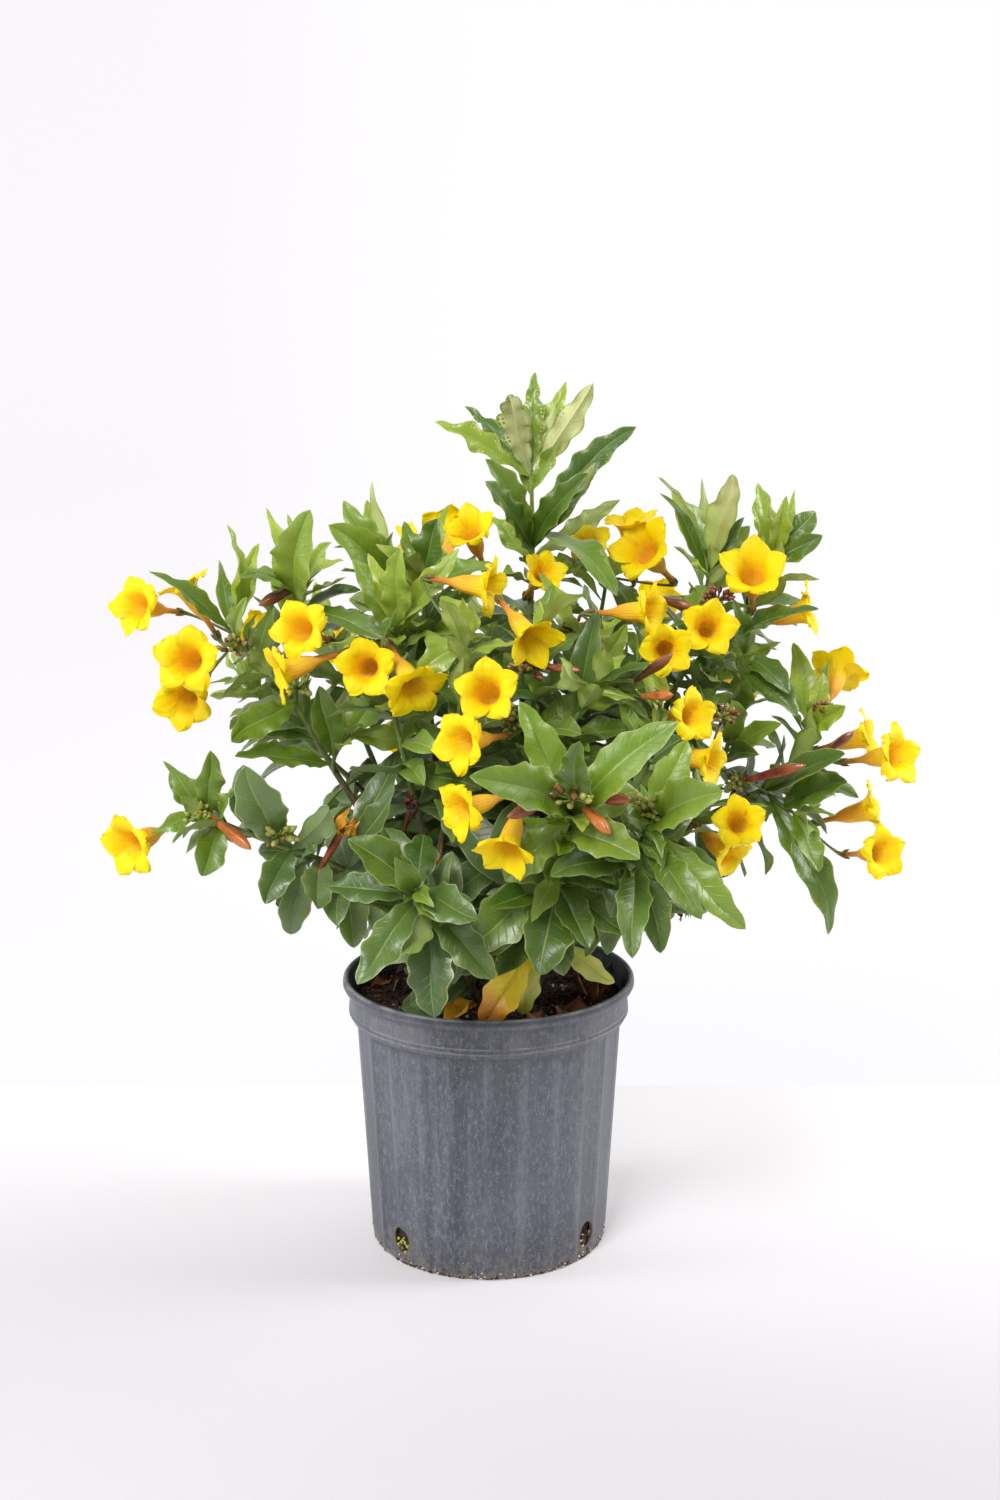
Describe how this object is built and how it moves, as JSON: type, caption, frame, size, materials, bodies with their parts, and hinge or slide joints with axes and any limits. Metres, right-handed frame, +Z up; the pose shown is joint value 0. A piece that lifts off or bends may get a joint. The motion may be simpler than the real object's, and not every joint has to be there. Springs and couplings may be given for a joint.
{
  "type": "potted flowering shrub",
  "caption": "Bushy flowering shrub with whorled glossy leaves and wide trumpet blooms, standing in a round ribbed nursery pot filled with potting mix.",
  "frame": {"origin": "centre of the pot's flat bottom", "axes": "+Z up along the pot's axis, -Y towards the side from which the picture sees the plant, +X to the right in that view"},
  "size_m": [0.6783, 0.5808, 0.76],
  "materials": {
    "pot": "dusty charcoal moulded plastic, satin",
    "potting_mix": "damp dark bark, peat and grit",
    "dead_leaf": "dry and curled",
    "foliage": "leathery green leaves and green stems, half gloss",
    "corolla": "soft bright yellow petals with an orange-lined throat"
  },
  "bodies": {
    "root": {"pot": "pot", "soil": "potting_mix", "fallen_leaf_right": "dead_leaf", "fallen_leaf_left": "dead_leaf", "cane_left_crest": "foliage", "cane_left_low": "foliage", "cane_left_peak": "foliage", "cane_mid_left": "foliage", "cane_tall": "foliage", "cane_heart": "foliage", "cane_front": "foliage", "cane_front_right": "foliage", "cane_upper_right": "foliage", "cane_right_peak": "foliage", "cane_right_shoulder": "foliage", "cane_front_left": "foliage", "cane_back_left": "foliage", "cane_back_centre": "foliage", "cane_back_right": "foliage", "bloom_01": "corolla", "bloom_02": "corolla", "bloom_03": "corolla", "bloom_04": "corolla", "bloom_05": "corolla", "bloom_06": "corolla", "bloom_07": "corolla", "bloom_08": "corolla", "bloom_09": "corolla", "bloom_10": "corolla", "bloom_11": "corolla", "bloom_12": "corolla", "bloom_13": "corolla", "bloom_14": "corolla", "bloom_15": "corolla", "bloom_16": "corolla", "bloom_17": "corolla", "bloom_18": "corolla", "bloom_19": "corolla", "bloom_20": "corolla", "bloom_21": "corolla", "bloom_22": "corolla", "bloom_23": "corolla", "bloom_24": "corolla", "bloom_25": "corolla", "bloom_26": "corolla", "bloom_27": "corolla", "bloom_28": "corolla", "bloom_29": "corolla", "bloom_30": "corolla", "bloom_31": "corolla", "bloom_32": "corolla", "bloom_33": "corolla", "bloom_34": "corolla", "bloom_35": "corolla", "bloom_36": "corolla", "bloom_37": "corolla", "bloom_38": "corolla", "bloom_39": "corolla", "bloom_40": "corolla"}
  },
  "joints": []
}
